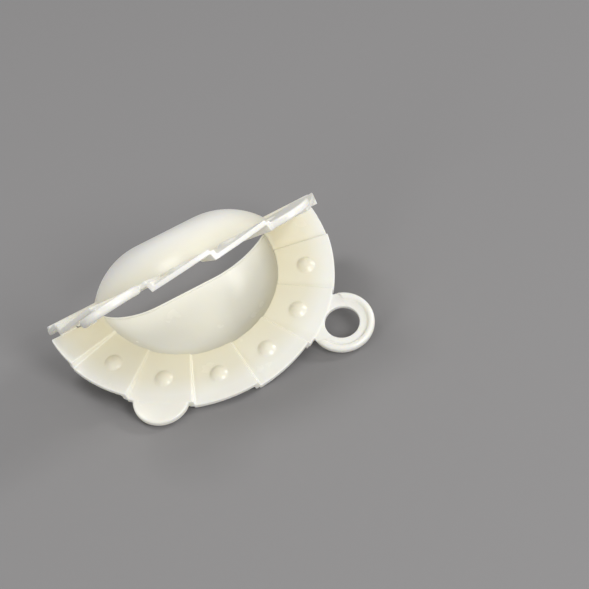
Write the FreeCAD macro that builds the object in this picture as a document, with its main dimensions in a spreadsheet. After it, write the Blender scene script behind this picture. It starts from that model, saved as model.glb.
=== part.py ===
import FreeCAD, Part
import math
import os

import Sketcher
from FreeCAD import Placement, Rotation, Vector

# Empanada press: two moulded half-disc jaws that snap together on two stub pins.
#
# Millimetres, +Z up.  Each jaw is drawn in its own flat frame: the disc centre at the origin,
# the pleated face up, the jaw reaching towards -Y, and the hinge line along X just behind the
# centre.  The finished press stands as it rests on a table, folded part way, and its origin is
# the middle of its footprint.

# Driving dimensions in millimetres, with counts and slopes as plain numbers
SIZES = {
    # The disc and its pleats
    "disc_radius": 45.0,
    "panels_per_half": 7,
    "panel_sheet": 1.6,
    "step_inner": 0.5,
    "step_outer": 2.5,
    "riser_lean": 0.32,
    "riser_wall": 1.3,
    "closing_gap": 0.3,
    # The bowl in the middle
    "bowl_radius": 27.8,
    "bowl_depth": 11.0,
    "bowl_floor_radius": 9.6,
    "bowl_wall": 1.2,
    # The knobs that pinch the dough, one on each whole panel
    "knob_radius": 2.7,
    "knob_height": 1.1,
    # The hanging ring and the thumb tab, which carry their panels on past the rim
    "ring_reach": 5.4,
    "ring_outer": 9.7,
    "ring_hole": 5.2,
    "ring_sheet": 1.7,
    "bead_width": 2.2,
    "bead_rise": 0.9,
    "tab_inset": 2.1,
    "tab_radius": 8.6,
    "tab_sheet": 2.2,
    "handle_bevel": 0.5,
    "handle_root": 3.0,
    "flush_step": 0.1,
    # The hinge
    "hinge_setback": 3.0,
    "edge_setback": 1.4,
    "bar_height": 2.7,
    "bar_width": 4.2,
    "bar_bevel": 0.6,
    "knuckle_radius": 1.6,
    "knuckle_share": 0.3,
    "rim_share": 0.19,
    "knuckle_gap": 0.4,
    "pin_radius": 0.9,
    "pin_play": 0.06,
    "pin_chamfer": 0.35,
    "swing_gap": 0.3,
    # How far the upper jaw is folded, in degrees between the two faces
    "fold_angle": 55.4,
}

SETTLING_ROUNDS = 40


def make_sheet(doc):
    """The spreadsheet that holds every driving dimension under its own alias."""
    sheet = doc.addObject("Spreadsheet::Sheet", "Sizes")
    for row, (name, value) in enumerate(SIZES.items(), start=1):
        sheet.set("A%d" % row, name)
        sheet.set("B%d" % row, str(value))
        sheet.setAlias("B%d" % row, name)
    doc.recompute()
    return sheet


def linked(formula):
    """A formula in plain size names, rewritten for an expression outside the sheet."""
    words = sorted(SIZES, key=len, reverse=True)
    out = ""
    rest = formula
    while rest:
        word = next((w for w in words if rest.startswith(w)), None)
        if word and not (out and (out[-1].isalnum() or out[-1] == "_")):
            out += "Sizes." + word
            rest = rest[len(word):]
        else:
            out += rest[0]
            rest = rest[1:]
    return out


def number(sheet, formula):
    """The present value of a formula in size names."""
    value = sheet.evalExpression(formula)
    return float(getattr(value, "Value", value))


def bind(thing, **formulas):
    """Tie properties of an object to formulas in size names."""
    for name, formula in formulas.items():
        thing.setExpression(name, linked(formula))


def origin_plane(body, role):
    return next(o for o in body.Origin.OriginFeatures if o.Role == role)


def new_sketch(body, name, role, offset="0", turn="0"):
    """A sketch on one of the body's own planes, pushed off it or turned about its upright."""
    sketch = body.newObject("Sketcher::SketchObject", name)
    sketch.AttachmentSupport = [(origin_plane(body, role), "")]
    sketch.MapMode = "FlatFace"
    sheet = body.Document.Sizes
    away = Vector(0, 0, number(sheet, offset))
    sketch.AttachmentOffset = Placement(away, Rotation(Vector(0, 1, 0), number(sheet, turn)))
    if offset != "0":
        sketch.setExpression(".AttachmentOffset.Base.z", linked(offset))
    if turn != "0":
        sketch.setExpression(".AttachmentOffset.Rotation.Angle", linked(turn))
    return sketch


def fix(sketch, kind, where, formula):
    """One driving constraint, given its value by a formula."""
    value = number(sketch.Document.Sizes, formula)
    index = sketch.addConstraint(sketch_constraint(kind, where, value))
    sketch.setExpression("Constraints[%d]" % index, linked(formula))


def sketch_constraint(kind, where, value):
    if kind == "Radius":
        return Sketcher.Constraint(kind, where[0], value)
    return Sketcher.Constraint(kind, -1, 1, where[0], where[1], value)


def arc_between(start, end, radius, turn):
    """The short arc between two points; turn is 1 if it runs anticlockwise, else -1."""
    middle = (start + end) / 2
    half = (end - start) / 2
    rise = math.sqrt(max(radius ** 2 - half.Length ** 2, 0))
    side = Vector(-half.y, half.x, 0)
    side.normalize()
    centre = middle + side * rise * turn
    a = math.atan2(start.y - centre.y, start.x - centre.x)
    b = math.atan2(end.y - centre.y, end.x - centre.x)
    circle = Part.Circle(centre, Vector(0, 0, 1), radius)
    return Part.ArcOfCircle(circle, a, b) if turn > 0 else Part.ArcOfCircle(circle, b, a)


def draw_outline(sketch, corners, arcs=None):
    """A closed outline.  corners are pairs of formulas; arcs maps the number of an edge to its
    radius formula and its turn, and every other edge is straight."""
    sheet = sketch.Document.Sizes
    arcs = arcs or {}
    points = [Vector(number(sheet, a), number(sheet, b), 0) for a, b in corners]
    count = len(points)
    ends = []
    for i, start in enumerate(points):
        end = points[(i + 1) % count]
        if i in arcs:
            formula, turn = arcs[i]
            edge = sketch.addGeometry(arc_between(start, end, number(sheet, formula), turn))
            ends.append((edge, 1, 2) if turn > 0 else (edge, 2, 1))
        else:
            edge = sketch.addGeometry(Part.LineSegment(start, end))
            ends.append((edge, 1, 2))
    for i in range(count):
        here = ends[i]
        following = ends[(i + 1) % count]
        sketch.addConstraint(Sketcher.Constraint("Coincident", here[0], here[2], following[0], following[1]))
    for i, (along, up) in enumerate(corners):
        fix(sketch, "DistanceX", ends[i][:2], along)
        fix(sketch, "DistanceY", ends[i][:2], up)
    for i, (formula, turn) in arcs.items():
        fix(sketch, "Radius", ends[i][:1], formula)


def draw_circle(sketch, along, up, radius):
    sheet = sketch.Document.Sizes
    centre = Vector(number(sheet, along), number(sheet, up), 0)
    edge = sketch.addGeometry(Part.Circle(centre, Vector(0, 0, 1), number(sheet, radius)))
    fix(sketch, "DistanceX", (edge, 3), along)
    fix(sketch, "DistanceY", (edge, 3), up)
    fix(sketch, "Radius", (edge,), radius)


# Levels of the face: the pleats swing about this plane, half the closing gap below the mating plane
FACE = "(-closing_gap / 2)"
# Half the angle of one panel, seen from the disc centre
HALF_PANEL = "(90deg / panels_per_half)"
PANEL_ANGLE = "(180 / panels_per_half)"
HANDLE_ANGLE = "(2 * %s)" % PANEL_ANGLE
# The slope of a panel across its middle line near the rim, which the ring and the tab share
PANEL_SLOPE = "atan(step_outer / (2 * (disc_radius + bowl_wall) * tan(%s)))" % HALF_PANEL
RING_PLACE = "(disc_radius + ring_reach)"
TAB_PLACE = "(disc_radius - tab_inset)"
# The knobs stand on the middle lines of the whole panels; each is a cap of this ball
FIRST_KNOB = "(180 + %s)" % PANEL_ANGLE
KNOB_CIRCLE = "((bowl_radius + disc_radius) / 2)"
KNOB_BALL = "((knob_radius ^ 2 + knob_height ^ 2) / (2 * knob_height))"
MID_SHEET = "(%s - panel_sheet / 2)" % FACE
# Each end of the hinge has two knuckles side by side, with a gap between them
KNUCKLE = "(knuckle_share * (disc_radius - bowl_radius))"
HINGE_END = "(disc_radius - rim_share * (disc_radius - bowl_radius))"
HINGE_START = "(%s - 2 * %s - knuckle_gap)" % (HINGE_END, KNUCKLE)


def draw_panel_section(sketch, distance, step):
    """The section of one panel and its riser, square to the panel's middle line, at a distance
    from the disc centre.  It climbs slowly and drops at the riser, which leans a little."""
    edge = "%s * tan(%s)" % (distance, HALF_PANEL)
    crest = "(%s / 2)" % step
    lean = "(riser_lean * %s / 2)" % step
    foot = "(%s / 2 + panel_sheet / 2)" % step
    foot_out = "(riser_lean * (%s + panel_sheet / 2))" % step
    profile = [
        ("-(%s)" % edge, "%s - %s" % (FACE, crest)),
        ("%s - %s" % (edge, lean), "%s + %s" % (FACE, crest)),
        ("%s - %s + %s" % (edge, lean, foot_out), "%s - %s" % (FACE, foot)),
        ("%s - riser_wall" % edge, "%s - %s" % (FACE, foot)),
        ("%s - riser_wall - %s" % (edge, lean), "%s + %s - panel_sheet" % (FACE, crest)),
        ("-(%s)" % edge, "%s - %s - panel_sheet" % (FACE, crest)),
    ]
    draw_outline(sketch, [("-(%s)" % along, up) for along, up in profile])


def repeat(body, name, features, turn, count):
    """A polar pattern about the upright through the disc centre."""
    pattern = body.newObject("PartDesign::PolarPattern", name)
    pattern.Originals = features
    pattern.Axis = (next(o for o in body.Origin.OriginFeatures if o.Role == "Z_Axis"), [""])
    pattern.Reversed = False
    bind(pattern, Angle=turn, Occurrences=count)
    body.Tip = pattern
    return pattern


def cut_with(body, name, sketch, upward=True, both=False, length="2 * disc_radius"):
    pocket = body.newObject("PartDesign::Pocket", name)
    pocket.Profile = sketch
    pocket.Reversed = upward
    pocket.Midplane = both
    bind(pocket, Length=length)
    return pocket


def make_panels(doc, prefix, raised):
    """The pleated half disc: eight panels about the centre, the first and last cut by the hinge
    line later, with the bars that stiffen the hinge edge and a knob on each whole panel."""
    body = doc.addObject("PartDesign::Body", prefix + "Panels")
    inner = new_sketch(body, prefix + "PanelInner", "YZ_Plane", "-(bowl_radius - bowl_wall) * cos(%s)" % HALF_PANEL)
    draw_panel_section(inner, "((bowl_radius - bowl_wall) * cos(%s))" % HALF_PANEL, "step_inner")
    outer = new_sketch(body, prefix + "PanelOuter", "YZ_Plane", "-(disc_radius + bowl_wall)")
    draw_panel_section(outer, "(disc_radius + bowl_wall)", "step_outer")
    panel = body.newObject("PartDesign::AdditiveLoft", prefix + "Panel")
    panel.Profile = inner
    panel.Sections = [outer]
    panel.Ruled = True
    doc.recompute()
    repeat(body, prefix + "PanelRow", [panel], "180", "panels_per_half + 1")
    doc.recompute()

    rim = new_sketch(body, prefix + "RimSketch", "XY_Plane")
    draw_circle(rim, "0", "0", "disc_radius")
    draw_circle(rim, "0", "0", "2 * disc_radius")
    cut_with(body, prefix + "Rim", rim, both=True)
    mouth = new_sketch(body, prefix + "MouthSketch", "XY_Plane")
    draw_circle(mouth, "0", "0", "bowl_radius")
    cut_with(body, prefix + "Mouth", mouth, both=True)
    doc.recompute()

    bar_sketch = new_sketch(body, prefix + "BarSketch", "YZ_Plane", "bowl_radius + bowl_wall / 2")
    back = "(hinge_setback - edge_setback)"
    top = "(%s - panel_sheet / 2)" % FACE
    draw_outline(bar_sketch, [
        (back, top),
        (back + " - bar_width", top),
        (back + " - bar_width", "-bar_height + bar_bevel"),
        (back + " - bar_width + bar_bevel", "-bar_height"),
        (back, "-bar_height"),
    ])
    bar = body.newObject("PartDesign::Pad", prefix + "Bar")
    bar.Profile = bar_sketch
    bind(bar, Length="disc_radius - bowl_radius - bowl_wall / 2 - bar_bevel / 2")
    body.Tip = bar
    doc.recompute()
    other = body.newObject("PartDesign::Mirrored", prefix + "OtherBar")
    other.Originals = [bar]
    other.MirrorPlane = (origin_plane(body, "YZ_Plane"), [""])
    body.Tip = other
    doc.recompute()
    if raised:
        add_knobs(body, prefix)
    else:
        add_bosses(body, prefix)
    return body


def repeat_on_panels(body, name, feature):
    """The same feature on the middle line of every whole panel."""
    doc = body.Document
    doc.recompute()
    repeat(body, name, [feature], "180 - 2 * %s" % PANEL_ANGLE, "panels_per_half - 1")
    doc.recompute()


def add_knobs(body, prefix):
    """A knob on each whole panel of the lower jaw: a cap of a ball, sunk into the sheet."""
    root = "(sqrt(%s ^ 2 - (%s - knob_height - panel_sheet / 2) ^ 2))" % (KNOB_BALL, KNOB_BALL)
    sketch = new_sketch(body, prefix + "KnobSketch", "XZ_Plane", "0", FIRST_KNOB)
    draw_outline(sketch, [
        (KNOB_CIRCLE, "%s + knob_height" % FACE),
        (KNOB_CIRCLE, MID_SHEET),
        ("%s + %s" % (KNOB_CIRCLE, root), MID_SHEET),
    ], {2: (KNOB_BALL, 1)})
    knob = revolve_about(body, prefix + "Knob", sketch, KNOB_CIRCLE)
    repeat_on_panels(body, prefix + "Knobs", knob)


def add_bosses(body, prefix):
    """A low tapered boss behind each whole panel of the upper jaw, to hold a dimple."""
    sketch = new_sketch(body, prefix + "BossSketch", "XZ_Plane", "0", FIRST_KNOB)
    end = "%s - knob_height - closing_gap - panel_sheet / 2" % FACE
    draw_outline(sketch, [
        (KNOB_CIRCLE, MID_SHEET),
        (KNOB_CIRCLE, end),
        (KNOB_CIRCLE + " + knob_radius", end),
        (KNOB_CIRCLE + " + knob_radius + closing_gap + riser_wall", MID_SHEET),
    ])
    boss = revolve_about(body, prefix + "Boss", sketch, KNOB_CIRCLE)
    repeat_on_panels(body, prefix + "Bosses", boss)


def make_dimples(doc, prefix):
    """The hollows that the other jaw's knobs press the dough into, as solids to cut away."""
    body = doc.addObject("PartDesign::Body", prefix + "Dimples")
    body.AllowCompound = True
    hollow = "(%s + closing_gap)" % KNOB_BALL
    roof = "(%s + knob_height)" % FACE
    mouth = "(sqrt(%s ^ 2 - (%s - 2 * knob_height) ^ 2))" % (hollow, KNOB_BALL)
    sketch = new_sketch(body, prefix + "DimpleSketch", "XZ_Plane", "0", FIRST_KNOB)
    draw_outline(sketch, [
        (KNOB_CIRCLE, "%s - knob_height - closing_gap" % FACE),
        ("%s + %s" % (KNOB_CIRCLE, mouth), roof),
        (KNOB_CIRCLE, roof),
    ], {0: (hollow, 1)})
    dimple = revolve_about(body, prefix + "Dimple", sketch, KNOB_CIRCLE)
    repeat_on_panels(body, prefix + "DimpleRow", dimple)
    return body


def revolve_about(body, name, sketch, along):
    """Turn a sketch once round the upright line at a distance along the sketch."""
    sheet = body.Document.Sizes
    place = number(sheet, along)
    line = sketch.addGeometry(Part.LineSegment(Vector(place, 0, 0), Vector(place, place, 0)), True)
    fix(sketch, "DistanceX", (line, 1), along)
    fix(sketch, "DistanceX", (line, 2), along)
    fix(sketch, "DistanceY", (line, 1), "0")
    fix(sketch, "DistanceY", (line, 2), along)
    sketch.Document.recompute()
    feature = body.newObject("PartDesign::Revolution", name)
    feature.Profile = sketch
    feature.ReferenceAxis = (sketch, ["Axis0"])
    feature.Angle = 360
    body.Tip = feature
    return feature


def make_bowl(doc, prefix):
    """The bowl that holds the filling: a flat floor and a rounded side of even wall."""
    body = doc.addObject("PartDesign::Body", prefix + "Bowl")
    sketch = new_sketch(body, prefix + "BowlSketch", "XZ_Plane")
    reach = "(bowl_radius - bowl_floor_radius)"
    drop = "(bowl_depth + %s - panel_sheet)" % FACE
    bend = "((%s ^ 2 + %s ^ 2) / (2 * %s))" % (reach, drop, drop)
    rise = "(%s - bowl_depth)" % bend
    wide = "(bowl_floor_radius + sqrt((%s + bowl_wall) ^ 2 - (%s + panel_sheet - %s) ^ 2))" % (bend, rise, FACE)
    top = "(%s - panel_sheet)" % FACE
    neck = "(%s + panel_sheet / 2)" % top
    draw_outline(sketch, [
        ("0", "-bowl_depth"),
        ("bowl_floor_radius", "-bowl_depth"),
        ("bowl_radius", top),
        ("bowl_radius", neck),
        (wide, neck),
        (wide, top),
        ("bowl_floor_radius", "-bowl_depth - bowl_wall"),
        ("0", "-bowl_depth - bowl_wall"),
    ], {1: (bend, 1), 5: ("%s + bowl_wall" % bend, -1)})
    bowl = body.newObject("PartDesign::Revolution", prefix + "BowlTurn")
    bowl.Profile = sketch
    bowl.ReferenceAxis = (next(o for o in body.Origin.OriginFeatures if o.Role == "Z_Axis"), [""])
    bowl.Angle = 360
    doc.recompute()
    return body


def carry_on(body, turn):
    """Place a handle's body along a panel's middle line, in the slope of that panel."""
    about = "create(<<rotation>>; create(<<vector>>; %s); %s)"
    turned = about % ("0; 0; 1", turn)
    tilted = about % ("1; 0; 0", PANEL_SLOPE)
    origin = "create(<<vector>>; 0; 0; 0)"
    body.setExpression("Placement", linked("create(<<placement>>; %s; %s * %s)" % (origin, turned, tilted)))


def trim_root(body, name):
    """End a handle a little inside the rim, within the thickness of the panel it grows from."""
    root = new_sketch(body, name + "RootSketch", "XY_Plane")
    draw_circle(root, "0", "0", "disc_radius - handle_root")
    cut_with(body, name + "Root", root, both=True)


def make_ring(doc, prefix):
    """The hanging ring: the panel runs on as a flat web round a hole, with a bead along the outer
    side that ends where the other jaw's tab comes down."""
    body = doc.addObject("PartDesign::Body", prefix + "Ring")
    top = "(%s - flush_step)" % FACE
    base = "(%s - ring_sheet)" % top
    sketch = new_sketch(body, prefix + "RingSketch", "XZ_Plane")
    draw_outline(sketch, [
        (RING_PLACE + " + ring_hole", base),
        (RING_PLACE + " + ring_outer - handle_bevel", base),
        (RING_PLACE + " + ring_outer", base + " + handle_bevel"),
        (RING_PLACE + " + ring_outer", top),
        (RING_PLACE + " + ring_outer - bead_width", top),
        (RING_PLACE + " + ring_hole", top),
    ], {3: ("(bead_width ^ 2 / 4 + bead_rise ^ 2) / (2 * bead_rise)", 1)})
    revolve_about(body, prefix + "RingTurn", sketch, RING_PLACE)
    landing = new_sketch(body, prefix + "LandingSketch", "XY_Plane", "%s - flush_step" % top)
    draw_circle(landing, TAB_PLACE, "0", "tab_radius + closing_gap")
    cut_with(body, prefix + "Landing", landing)
    trim_root(body, prefix + "Ring")
    carry_on(body, "-" + HANDLE_ANGLE)
    doc.recompute()
    return body


def make_tab(doc, prefix):
    """The thumb tab: the panel runs on as a flat round tongue."""
    body = doc.addObject("PartDesign::Body", prefix + "Tab")
    top = "(%s - flush_step)" % FACE
    low = "(%s - tab_sheet)" % top
    sketch = new_sketch(body, prefix + "TabSketch", "XZ_Plane")
    draw_outline(sketch, [
        (TAB_PLACE, low),
        (TAB_PLACE + " + tab_radius - handle_bevel", low),
        (TAB_PLACE + " + tab_radius", low + " + handle_bevel"),
        (TAB_PLACE + " + tab_radius", top + " - handle_bevel"),
        (TAB_PLACE + " + tab_radius - handle_bevel", top),
        (TAB_PLACE, top),
    ], {3: ("handle_bevel", 1)})
    revolve_about(body, prefix + "TabTurn", sketch, TAB_PLACE)
    trim_root(body, prefix + "Tab")
    carry_on(body, "180 + " + HANDLE_ANGLE)
    doc.recompute()
    return body


def make_pin_knuckle(doc, prefix):
    """A knuckle with a stub pin that points outwards along the hinge line, on the +X side."""
    body = doc.addObject("PartDesign::Body", prefix + "PinKnuckle")
    sketch = new_sketch(body, prefix + "PinSketch", "XY_Plane")
    end = "(%s + %s)" % (HINGE_START, KNUCKLE)
    draw_outline(sketch, [
        (HINGE_START, "hinge_setback"),
        (HINGE_END, "hinge_setback"),
        (HINGE_END, "hinge_setback + pin_radius - pin_chamfer"),
        (HINGE_END + " - pin_chamfer", "hinge_setback + pin_radius"),
        (end, "hinge_setback + pin_radius"),
        (end, "hinge_setback + knuckle_radius"),
        (HINGE_START, "hinge_setback + knuckle_radius"),
    ])
    revolve_along(body, prefix + "Pin", sketch)
    return body


def make_socket_knuckle(doc, prefix):
    """A knuckle bored for the other jaw's pin, on the -X side."""
    body = doc.addObject("PartDesign::Body", prefix + "SocketKnuckle")
    sketch = new_sketch(body, prefix + "SocketSketch", "XY_Plane")
    inner = "-(%s - %s)" % (HINGE_END, KNUCKLE)
    outer = "-" + HINGE_END
    draw_outline(sketch, [
        (inner, "hinge_setback + pin_radius + pin_play"),
        (inner, "hinge_setback + knuckle_radius"),
        (outer, "hinge_setback + knuckle_radius"),
        (outer, "hinge_setback + pin_radius + pin_play"),
    ])
    revolve_along(body, prefix + "Socket", sketch)
    return body


def make_arm(doc, name, start):
    """The arm under the face that carries a knuckle out from the hinge bar."""
    arm = doc.addObject("Part::Box", name)
    bind(arm, Length=KNUCKLE, Width="edge_setback + bar_width / 2", Height="knuckle_radius + %s - step_inner" % FACE)
    arm.setExpression(".Placement.Base.x", linked(start))
    arm.setExpression(".Placement.Base.y", linked("hinge_setback - edge_setback - bar_width / 2"))
    arm.setExpression(".Placement.Base.z", linked("-knuckle_radius"))
    return arm


def revolve_along(body, name, sketch):
    """Turn a sketch once round the hinge line."""
    sheet = body.Document.Sizes
    place = number(sheet, "hinge_setback")
    reach = number(sheet, "disc_radius")
    line = sketch.addGeometry(Part.LineSegment(Vector(0, place, 0), Vector(reach, place, 0)), True)
    for corner, along in ((1, "0"), (2, "disc_radius")):
        fix(sketch, "DistanceX", (line, corner), along)
        fix(sketch, "DistanceY", (line, corner), "hinge_setback")
    sketch.Document.recompute()
    feature = body.newObject("PartDesign::Revolution", name)
    feature.Profile = sketch
    feature.ReferenceAxis = (sketch, ["Axis0"])
    feature.Angle = 360
    body.Tip = feature
    sketch.Document.recompute()
    return feature


def make_hinge_rod(doc, name, start, length, radius):
    """A cutting rod along the hinge line."""
    rod = doc.addObject("Part::Cylinder", name)
    rod.Placement = Placement(Vector(0, 0, 0), Rotation(Vector(0, 1, 0), 90))
    bind(rod, Height=length, Radius=radius)
    rod.setExpression(".Placement.Base.x", linked(start))
    rod.setExpression(".Placement.Base.y", linked("hinge_setback"))
    return rod


def make_jaw(doc, prefix, label, raised):
    """One whole jaw in its own flat frame."""
    whole = doc.addObject("Part::MultiFuse", prefix + "Moulding")
    whole.Shapes = [
        make_panels(doc, prefix, raised),
        make_bowl(doc, prefix),
        make_ring(doc, prefix),
        make_tab(doc, prefix),
    ]
    beyond = doc.addObject("Part::Box", prefix + "BeyondHinge")
    bind(beyond, Length="4 * disc_radius", Width="2 * disc_radius", Height="4 * disc_radius")
    beyond.setExpression(".Placement.Base.x", linked("-2 * disc_radius"))
    beyond.setExpression(".Placement.Base.y", linked("hinge_setback - edge_setback"))
    beyond.setExpression(".Placement.Base.z", linked("-2 * disc_radius"))

    swing = "knuckle_radius + swing_gap"
    notch = "%s + 2 * swing_gap" % KNUCKLE
    socket_notch = "%s - %s - swing_gap" % (HINGE_END, KNUCKLE)
    pin_notch = "-(%s + %s) - swing_gap" % (HINGE_START, KNUCKLE)
    clearances = doc.addObject("Part::MultiFuse", prefix + "Clearances")
    clearances.Shapes = [
        beyond,
        make_hinge_rod(doc, prefix + "SocketNotch", socket_notch, notch, swing),
        make_hinge_rod(doc, prefix + "PinNotch", pin_notch, notch, swing),
    ]
    if not raised:
        clearances.Shapes = clearances.Shapes + [make_dimples(doc, prefix)]
    relieved = doc.addObject("Part::Cut", prefix + "Relieved")
    relieved.Base = whole
    relieved.Tool = clearances

    socket_arm = doc.addObject("Part::Cut", prefix + "SocketArm")
    socket_arm.Base = make_arm(doc, prefix + "SocketArmBlock", "-" + HINGE_END)
    socket_arm.Tool = make_hinge_rod(doc, prefix + "Bore", "-%s - knuckle_gap" % HINGE_END,
                                     "%s + 2 * knuckle_gap" % KNUCKLE, "(knuckle_radius + pin_radius) / 2")
    jaw = doc.addObject("Part::MultiFuse", prefix + "Jaw")
    jaw.Shapes = [
        relieved,
        make_arm(doc, prefix + "PinArm", HINGE_START),
        socket_arm,
        make_pin_knuckle(doc, prefix),
        make_socket_knuckle(doc, prefix),
    ]
    jaw.Label = label
    doc.recompute()
    return jaw


def handle_rim(sheet, turn, place, height, radius):
    """The lower rim of a handle: its middle, its upright and its radius."""
    turned = Rotation(Vector(0, 0, 1), number(sheet, turn)) * Rotation(Vector(1, 0, 0), number(sheet, PANEL_SLOPE))
    middle = turned.multVec(Vector(number(sheet, place), 0, number(sheet, height)))
    return middle, turned.multVec(Vector(0, 0, 1)), number(sheet, radius)


def lowest_point(rim, up):
    """The point of a handle's rim that is lowest when the press stands with this up."""
    middle, upright, radius = rim
    down = upright * upright.dot(up) - up
    return middle + down.normalize() * radius


def resting_turn(sheet):
    """The turn that stands the lower jaw on the table: it leans forward until the ring and the
    tab touch, with the rounded side of the bowl as the third point."""
    floor_radius = number(sheet, "bowl_floor_radius")
    reach = number(sheet, "bowl_radius") - floor_radius
    drop = number(sheet, "bowl_depth + %s - panel_sheet" % FACE)
    bend = (reach ** 2 + drop ** 2) / (2 * drop)
    heart = Vector(0, 0, bend - number(sheet, "bowl_depth"))
    skin = bend + number(sheet, "bowl_wall")
    ring_low = "%s - flush_step - ring_sheet" % FACE
    tab_low = "%s - flush_step - tab_sheet" % FACE
    ring_rim = handle_rim(sheet, "-" + HANDLE_ANGLE, RING_PLACE, ring_low, "ring_outer - handle_bevel")
    tab_rim = handle_rim(sheet, "180 + " + HANDLE_ANGLE, TAB_PLACE, tab_low, "tab_radius - handle_bevel")
    up = Vector(0, 0, 1)
    lean = Vector(0, -1, 0)
    for _ in range(SETTLING_ROUNDS):
        bowl = heart + lean * floor_radius - up * skin
        ring = lowest_point(ring_rim, up)
        tab = lowest_point(tab_rim, up)
        up = (ring - bowl).cross(tab - bowl).normalize()
        if up.z < 0:
            up = up * -1
        lean = Vector(-up.x, -up.y, 0).normalize()
    return Rotation(up, Vector(0, 0, 1))


def place_jaws(doc, lower, upper):
    """Stand the press on the table, the upper jaw folded over the lower, and bring the middle
    of its footprint to the origin."""
    sheet = doc.Sizes
    setback = number(sheet, "hinge_setback")
    rest = Placement(Vector(0, 0, 0), resting_turn(sheet))
    across = Placement(Vector(0, 2 * setback, 0), Rotation(Vector(0, 0, 1), 180))
    swing = Rotation(Vector(1, 0, 0), 180 - number(sheet, "fold_angle"))
    folded = Placement(Vector(0, 0, 0), swing, Vector(0, setback, 0))
    lower.Placement = rest
    upper.Placement = rest * folded * across
    doc.recompute()
    box = lower.Shape.optimalBoundingBox(False)
    box.add(upper.Shape.optimalBoundingBox(False))
    shift = Placement(Vector(-box.Center.x, -box.Center.y, -box.ZMin), Rotation())
    lower.Placement = shift * lower.Placement
    upper.Placement = shift * upper.Placement
    doc.recompute()
    frame = lower.Placement
    hinge = frame.multVec(Vector(0, setback, 0))
    axis = frame.Rotation.multVec(Vector(1, 0, 0))
    print("hinge point mm %.4f %.4f %.4f" % tuple(hinge), "axis %.6f %.6f %.6f" % tuple(axis))
    print("box mm", box.XLength, box.YLength, box.ZLength)


def check(doc, pieces):
    """Stop before anything is written if a feature failed or a piece isn't one sound solid."""
    for thing in doc.Objects:
        if "Invalid" in thing.State or "Error" in thing.State:
            raise RuntimeError("%s failed: %s" % (thing.Name, thing.State))
    for piece in pieces:
        shape = piece.Shape
        if shape.isNull() or not shape.isValid() or len(shape.Solids) != 1:
            raise RuntimeError("%s is not one sound solid" % piece.Label)
        print(piece.Label, "volume %.1f mm3, %d faces" % (shape.Volume, len(shape.Faces)))


def main():
    doc = FreeCAD.newDocument("EmpanadaPress")
    make_sheet(doc)
    lower = make_jaw(doc, "Lower", "lower_jaw", True)
    upper = make_jaw(doc, "Upper", "upper_jaw", False)
    place_jaws(doc, lower, upper)
    check(doc, [lower, upper])
    os.makedirs("parts", exist_ok=True)
    for piece in (lower, upper):
        piece.Shape.exportStep("parts/%s.step" % piece.Label)


main()
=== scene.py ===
import math

import bmesh
import bpy
from mathutils import Matrix, Vector


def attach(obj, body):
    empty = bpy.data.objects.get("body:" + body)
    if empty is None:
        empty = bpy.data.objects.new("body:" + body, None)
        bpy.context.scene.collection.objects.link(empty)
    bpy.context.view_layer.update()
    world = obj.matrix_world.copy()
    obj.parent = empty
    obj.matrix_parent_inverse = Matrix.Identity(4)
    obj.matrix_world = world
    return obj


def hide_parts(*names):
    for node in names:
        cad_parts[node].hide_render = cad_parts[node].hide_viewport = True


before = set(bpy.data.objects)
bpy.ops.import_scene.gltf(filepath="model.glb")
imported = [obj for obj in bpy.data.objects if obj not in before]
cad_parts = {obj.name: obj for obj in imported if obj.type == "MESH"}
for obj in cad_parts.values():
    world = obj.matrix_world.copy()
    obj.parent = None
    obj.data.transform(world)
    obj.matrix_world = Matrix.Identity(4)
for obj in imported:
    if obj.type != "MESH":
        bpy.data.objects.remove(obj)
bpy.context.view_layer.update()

MM_PER_METRE = 1000
WHITE = (1, 1, 1, 1)

# Camera, fitted to points measured in the photograph: place in metres, angles in degrees
CAMERA_PLACE = (-0.1498, -0.4707, 0.4233)
CAMERA_AZIMUTH = -20.48
CAMERA_ELEVATION = 39.67
CAMERA_ROLL = -12.41
# The nearest and the farthest that it sees, in metres
CAMERA_NEAR = 0.01
CAMERA_FAR = 10
# Its lens: the picture's width in pixels, the pixels that a slope of 1 takes up, the sensor's width in
# millimetres
FRAME_PIXELS = 589
PIXELS_PER_SLOPE = 2161.4
SENSOR = 36.0

# Lamps: name, place and size in metres, power in watts; and the strength of the surround
LAMPS = (
    ("key", (-0.15, 0.32, 0.67), 0.25, 1.35),
    ("front", (0.22, -0.80, 0.56), 0.4, 4.5),
    ("right", (0.85, -0.05, 0.50), 0.2, 2.4),
    ("left", (-0.80, -0.42, 0.30), 0.3, 1.4),
)
SURROUND = 0.44

# The table top: its side in metres, colour, roughness and gloss
TABLE_SIZE = 6
TABLE_COLOUR = (0.262, 0.2565, 0.2575, 1)
TABLE_ROUGHNESS = 0.8
TABLE_SPECULAR = 0.2

# The plastic: how it bends light, and how much, in which colours and how far in metres light spreads
# inside it
PLASTIC_IOR = 1.49
SPREAD_WEIGHT = 0.35
SPREAD_COLOURS = (1.0, 0.85, 0.55)
SPREAD_REACH = 0.002
# Where the rings of painted shade and light are centred, on the hinge, and the radius in metres they
# reach to
HINGE_MIDDLE = (0.0, 0.0216, 0.0169)
SHADE_RING_REACH = 0.05
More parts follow.
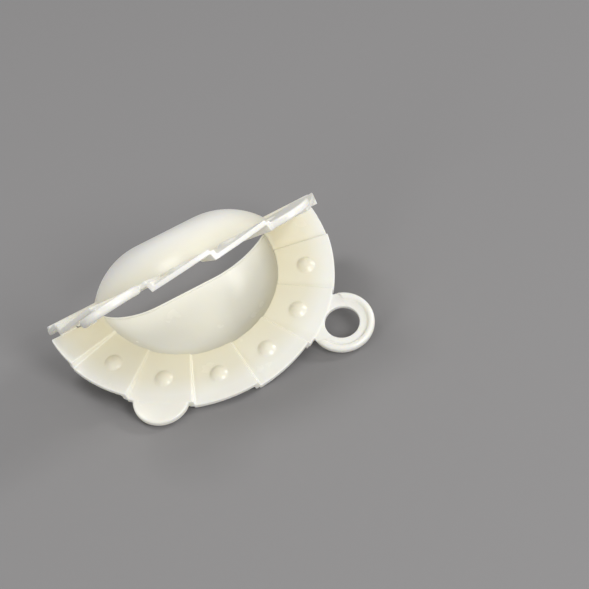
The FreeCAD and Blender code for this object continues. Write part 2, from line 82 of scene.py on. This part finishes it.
# Ivory with painted shade and light, from the middle of a jaw out to its rim: share of the reach, then
# red, green and blue
# Painted shade deepens and warms the lower jaw's flange where the upper jaw shades it; painted light
# brightens its bowl and rim; the upper jaw is painted whiter, as lit
LOWER_LIT_AND_SHADED_TINTS = (
    (0.50, 0.97, 0.945, 0.84),
    (0.60, 0.85, 0.80, 0.62),
    (0.78, 0.875, 0.835, 0.695),
    (0.89, 0.945, 0.93, 0.865),
)
UPPER_LIT_AND_SHADED_TINTS = (
    (0.50, 0.93, 0.92, 0.875),
    (0.60, 0.895, 0.865, 0.745),
    (0.78, 0.90, 0.88, 0.785),
    (0.89, 0.91, 0.90, 0.85),
)
# Roughness, from the glossiest spots to the dullest: the lower jaw shows its polished inside
LOWER_GLOSS = (0.22, 0.30)
UPPER_GLOSS = (0.26, 0.36)
# Faint clouding of the colour: size and detail of its noise, and the noise values and tints between
# which it runs
CLOUD_SCALE = 45
CLOUD_DETAIL = 3
CLOUD_FROM = (0.3, (0.965, 0.955, 0.93, 1))
CLOUD_TO = (0.7, WHITE)
# Faint flow in the gloss, and the fine texture from the mould with its depth in metres
FLOW_SCALE = 140
FLOW_DETAIL = 4
GRAIN_SCALE = 2600
GRAIN_DETAIL = 2
GRAIN_STRENGTH = 0.05
GRAIN_DEPTH = 0.00005

# The skin that rounds the moulded edges: its pitch in metres, how strongly and how often it is
# smoothed, and the share of its faces that stays
SKIN_PITCH = 0.0002
SOFTENING = 0.5
SOFTENING_ROUNDS = 7
KEPT_FACES = 0.3

# At rest: a point on the hinge in metres, the hinge's direction, and the directions that stand square
# on each jaw's flat bowl floor
HINGE_POINT = (0.0000418, 0.0215879, 0.0169384)
HINGE_AXIS = (0.998967, -0.006794, 0.044928)
LOWER_UP = (-0.044928, -0.295524, 0.954278)
UPPER_UP = (0.031104, -0.61854, -0.785138)

# A bowl's section along the hinge, in millimetres and degrees: half its flat floor, its depth, the
# radius and turn of its side, and how far its open edge stands from the hinge
BOWL_FLOOR = 9.6
BOWL_DEPTH = 11.0
BOWL_BEND = 22.53
BOWL_TURN = 53.9
BOWL_EDGE = 1.4
# The lip along that edge, in millimetres: its radius and how far its middle stands over the bowl's
# inside; then its steps along each side and how finely its section is rounded
LIP_RADIUS = 0.32
LIP_RISE = 0.08
LIP_STEPS = 24
LIP_ROUNDNESS = 4


def add_camera():
    """The photograph's camera: where it stands, how it is turned and how much it takes in."""
    azimuth = math.radians(CAMERA_AZIMUTH)
    elevation = math.radians(CAMERA_ELEVATION)
    roll = math.radians(CAMERA_ROLL)
    level = math.cos(elevation)
    back = Vector((math.sin(azimuth) * level, -math.cos(azimuth) * level, math.sin(elevation)))
    right = Vector((math.cos(azimuth), math.sin(azimuth), 0))
    up = back.cross(right)
    turned_right = right * math.cos(roll) + up * math.sin(roll)
    turned_up = up * math.cos(roll) - right * math.sin(roll)
    data = bpy.data.cameras.new("Camera")
    data.sensor_width = SENSOR
    data.lens = SENSOR * PIXELS_PER_SLOPE / FRAME_PIXELS
    data.clip_start = CAMERA_NEAR
    data.clip_end = CAMERA_FAR
    camera = bpy.data.objects.new("Camera", data)
    turn = Matrix((turned_right, turned_up, back)).transposed().to_4x4()
    camera.matrix_world = Matrix.Translation(CAMERA_PLACE) @ turn
    bpy.context.scene.collection.objects.link(camera)
    bpy.context.scene.camera = camera


def new_material(name):
    """A material with its nodes switched on, and its main shader."""
    material = bpy.data.materials.new(name)
    material.use_nodes = True
    return material, material.node_tree.nodes["Principled BSDF"]


def ivory_plastic(name, lit_and_shaded_tints, gloss):
    """Moulded ivory plastic: glossy, a little see-through where thin, with painted shade that deepens
    its colour around the bowl and painted light that pales it towards the rim, with faint clouding,
    faint flow in the gloss and a fine texture from the mould."""
    material, shader = new_material(name)
    nodes = material.node_tree.nodes
    links = material.node_tree.links
    shader.inputs["IOR"].default_value = PLASTIC_IOR
    shader.inputs["Subsurface Weight"].default_value = SPREAD_WEIGHT
    shader.inputs["Subsurface Radius"].default_value = SPREAD_COLOURS
    shader.inputs["Subsurface Scale"].default_value = SPREAD_REACH

    place = nodes.new("ShaderNodeTexCoord")
    radius = nodes.new("ShaderNodeVectorMath")
    radius.operation = "DISTANCE"
    radius.inputs[1].default_value = HINGE_MIDDLE
    links.new(place.outputs["Object"], radius.inputs[0])
    share = nodes.new("ShaderNodeMath")
    share.operation = "DIVIDE"
    share.inputs[1].default_value = SHADE_RING_REACH
    links.new(radius.outputs["Value"], share.inputs[0])
    # Painted shade and light: the colour runs in rings out from the hinge
    shade_rings = nodes.new("ShaderNodeValToRGB")
    elements = shade_rings.color_ramp.elements
    while len(elements) < len(lit_and_shaded_tints):
        elements.new(0.5)  # only until it gets its own place below
    for element, tint in zip(elements, lit_and_shaded_tints):
        element.position = tint[0]
        element.color = (*tint[1:], 1)
    links.new(share.outputs["Value"], shade_rings.inputs["Fac"])

    def noise(scale, detail):
        """Noise over the piece."""
        node = nodes.new("ShaderNodeTexNoise")
        node.inputs["Scale"].default_value = scale
        node.inputs["Detail"].default_value = detail
        links.new(place.outputs["Object"], node.inputs["Vector"])
        return node.outputs["Fac"]

    clouding = nodes.new("ShaderNodeValToRGB")
    for element, (position, tint) in zip(clouding.color_ramp.elements, (CLOUD_FROM, CLOUD_TO)):
        element.position = position
        element.color = tint
    links.new(noise(CLOUD_SCALE, CLOUD_DETAIL), clouding.inputs["Fac"])
    blend = nodes.new("ShaderNodeMix")
    blend.data_type = "RGBA"
    blend.blend_type = "MULTIPLY"
    blend.inputs["Factor"].default_value = 1.0
    links.new(shade_rings.outputs["Color"], blend.inputs["A"])
    links.new(clouding.outputs["Color"], blend.inputs["B"])
    links.new(blend.outputs["Result"], shader.inputs["Base Color"])

    flow = nodes.new("ShaderNodeMapRange")
    flow.inputs["To Min"].default_value = gloss[0]
    flow.inputs["To Max"].default_value = gloss[1]
    links.new(noise(FLOW_SCALE, FLOW_DETAIL), flow.inputs["Value"])
    links.new(flow.outputs["Result"], shader.inputs["Roughness"])

    grain = nodes.new("ShaderNodeBump")
    grain.inputs["Strength"].default_value = GRAIN_STRENGTH
    grain.inputs["Distance"].default_value = GRAIN_DEPTH
    links.new(noise(GRAIN_SCALE, GRAIN_DETAIL), grain.inputs["Height"])
    links.new(grain.outputs["Normal"], shader.inputs["Normal"])
    return material


def made_mesh(rough):
    """The mesh that a working object comes to. The object itself is removed."""
    bpy.context.scene.collection.objects.link(rough)
    bpy.context.view_layer.update()
    finished = rough.evaluated_get(bpy.context.evaluated_depsgraph_get())
    mesh = bpy.data.meshes.new_from_object(finished)
    bpy.data.objects.remove(rough)
    return mesh


def keep_largest(mesh):
    """Drops the specks that the skin leaves apart from the moulding itself."""
    work = bmesh.new()
    work.from_mesh(mesh)
    unseen = set(work.verts)
    largest = set()
    while unseen:
        first = unseen.pop()
        island = {first}
        waiting = [first]
        while waiting:
            corner = waiting.pop()
            for edge in corner.link_edges:
                other = edge.other_vert(corner)
                if other in unseen:
                    unseen.remove(other)
                    island.add(other)
                    waiting.append(other)
        if len(island) > len(largest):
            largest = island
    specks = [corner for corner in work.verts if corner not in largest]
    bmesh.ops.delete(work, geom=specks, context="VERTS")
    work.to_mesh(mesh)
    work.free()


def smooth_piece(name, mesh, material):
    """A smooth-shaded piece of the scene with one material."""
    mesh.name = name
    mesh.materials.clear()
    mesh.materials.append(material)
    mesh.polygons.foreach_set("use_smooth", [True] * len(mesh.polygons))
    piece = bpy.data.objects.new(name, mesh)
    bpy.context.scene.collection.objects.link(piece)
    return piece


def moulded_copy(node, body, material):
    """A jaw as it comes from the mould: the CAD shape with all its edges slightly rounded."""
    rough = bpy.data.objects.new(node + "_rough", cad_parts[node].data.copy())
    skin = rough.modifiers.new("skin", "REMESH")
    skin.mode = "VOXEL"
    skin.voxel_size = SKIN_PITCH
    soften = rough.modifiers.new("soften", "SMOOTH")
    soften.factor = SOFTENING
    soften.iterations = SOFTENING_ROUNDS
    thin = rough.modifiers.new("thin", "DECIMATE")
    thin.ratio = KEPT_FACES
    mesh = made_mesh(rough)
    keep_largest(mesh)
    piece = smooth_piece(node + "_moulded", mesh, material)
    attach(piece, body)
    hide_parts(node)


def bowl_lip(name, body, along, up, material):
    """The fine rounded lip inside a bowl's open edge, beside the hinge."""
    up = Vector(up).normalized()
    along = Vector(along).normalized()
    across = up.cross(along)
    bend = BOWL_BEND - LIP_RISE
    right = []
    for step in range(LIP_STEPS + 1):
        angle = math.radians(BOWL_TURN) * step / LIP_STEPS
        side = BOWL_FLOOR + bend * math.sin(angle)
        height = BOWL_BEND - BOWL_DEPTH - bend * math.cos(angle)
        right.append((side, height))
    outline = [(-side, height) for side, height in reversed(right)] + right
    data = bpy.data.curves.new(name + "_line", "CURVE")
    data.dimensions = "3D"
    data.bevel_depth = LIP_RADIUS / MM_PER_METRE
    data.bevel_resolution = LIP_ROUNDNESS
    data.use_fill_caps = True
    line = data.splines.new("POLY")
    line.points.add(len(outline) - 1)
    inward = -across * (BOWL_EDGE + LIP_RADIUS)
    for point, (side, height) in zip(line.points, outline):
        place = Vector(HINGE_POINT) + (along * side + up * height + inward) / MM_PER_METRE
        point.co = (*place, 1)
    mesh = made_mesh(bpy.data.objects.new(name + "_rough", data))
    piece = smooth_piece(name, mesh, material)
    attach(piece, body)


def add_floor():
    """A plain pale table top."""
    material, shader = new_material("table")
    shader.inputs["Base Color"].default_value = TABLE_COLOUR
    shader.inputs["Roughness"].default_value = TABLE_ROUGHNESS
    shader.inputs["Specular IOR Level"].default_value = TABLE_SPECULAR
    bpy.ops.mesh.primitive_plane_add(size=TABLE_SIZE)
    floor = bpy.context.object
    floor.name = "table"
    floor.data.materials.append(material)


def add_lamp(name, place, size, power):
    """A round lamp that shines on the middle of the table under the press."""
    data = bpy.data.lights.new(name, "AREA")
    data.shape = "DISK"
    data.size = size
    data.energy = power
    lamp = bpy.data.objects.new(name, data)
    lamp.location = place
    lamp.rotation_euler = (-Vector(place)).to_track_quat("-Z", "Y").to_euler()
    bpy.context.scene.collection.objects.link(lamp)


def add_light():
    """A lamp high up behind the press, a broad one in front, one at its right, a fainter one at its
    left, and an even white surround."""
    for name, place, size, power in LAMPS:
        add_lamp(name, place, size, power)
    world = bpy.data.worlds.new("surround")
    world.use_nodes = True
    background = world.node_tree.nodes["Background"]
    background.inputs["Color"].default_value = WHITE
    background.inputs["Strength"].default_value = SURROUND
    bpy.context.scene.world = world


add_camera()
# Two copies of one ivory plastic: the lower one with painted shade, the upper one painted whiter as
# lit, each with its own gloss
lower_ivory_shaded = ivory_plastic("ivory_lower", LOWER_LIT_AND_SHADED_TINTS, LOWER_GLOSS)
upper_ivory_lit = ivory_plastic("ivory_upper", UPPER_LIT_AND_SHADED_TINTS, UPPER_GLOSS)
moulded_copy("lower_jaw", "lower_half", lower_ivory_shaded)
moulded_copy("upper_jaw", "upper_half", upper_ivory_lit)
hinge_axis = Vector(HINGE_AXIS)
bowl_lip("lower_bowl_lip", "lower_half", hinge_axis, LOWER_UP, lower_ivory_shaded)
bowl_lip("upper_bowl_lip", "upper_half", -hinge_axis, UPPER_UP, upper_ivory_lit)
add_floor()
add_light()
bpy.context.scene.view_settings.view_transform = "Standard"

bpy.context.view_layer.update()
